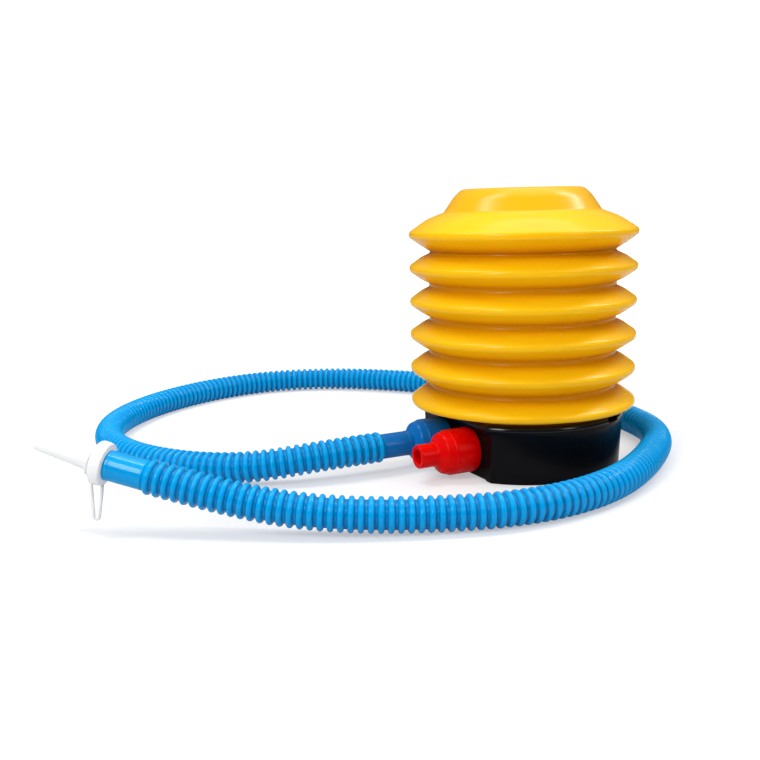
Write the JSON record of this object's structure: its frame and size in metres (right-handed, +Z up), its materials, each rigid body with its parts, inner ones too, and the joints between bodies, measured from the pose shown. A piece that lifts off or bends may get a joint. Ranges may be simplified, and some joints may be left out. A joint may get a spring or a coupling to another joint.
{
  "type": "bellows foot pump",
  "caption": "Round bellows pump worked by foot or hand, with a flat-sided base, an intake and an outlet nipple side by side, and a ribbed hose that ends in a tapered inflation nozzle.",
  "frame": {"origin": "on the bellows axis at the underside of the base", "axes": "+Z up along the bellows axis, -X out of the two ports, the intake on the -Y side and the outlet on the +Y side"},
  "size_m": [0.3247, 0.3322, 0.1352],
  "materials": {
    "yellow": "golden yellow blow-moulded polyethylene, glossy",
    "black": "black moulded plastic, glossy",
    "red": "red moulded plastic, glossy",
    "blue_hard": "blue moulded plastic, glossy",
    "hose": "azure blue soft corrugated plastic, satin",
    "white": "white moulded plastic, satin",
    "valve": "off-white moulded plastic",
    "rubber": "black soft rubber",
    "steel": "zinc-plated steel"
  },
  "bodies": {
    "base": {"bellows_wall": "yellow", "bellows_neck": "yellow", "neck_gasket": "rubber", "clamp_ring": "black", "base_shell": "black", "base_floor": "black", "base_screws": "steel", "intake_fitting": "red", "outlet_fitting": "blue_hard", "intake_seal_ring": "rubber", "outlet_seal_ring": "rubber", "intake_valve_seat": "valve", "outlet_valve_seat": "valve", "intake_valve_cage": "valve", "outlet_valve_cage": "valve", "hose": "hose", "hose_cuff_pump": "hose", "hose_cuff_nozzle": "hose", "nozzle": "white", "nozzle_strap": "white"},
    "crown": {"bellows_crown": "yellow"},
    "intake_flap": {"intake_flap": "rubber"},
    "outlet_flap": {"outlet_flap": "rubber"}
  },
  "joints": [
    {"name": "bellows_press", "type": "slide", "parent": "base", "child": "crown", "axis": [0, 0, -1], "range_m": [0, 0.05], "stiffness_N_per_m": 1200, "deforming": ["bellows_wall"]},
    {"name": "intake_flap_lift", "type": "slide", "parent": "base", "child": "intake_flap", "axis": [0, 0, 1], "range_m": [0, 0.0016], "stiffness_N_per_m": 50},
    {"name": "outlet_flap_drop", "type": "slide", "parent": "base", "child": "outlet_flap", "axis": [0, 0, -1], "range_m": [0, 0.0016], "stiffness_N_per_m": 50}
  ]
}
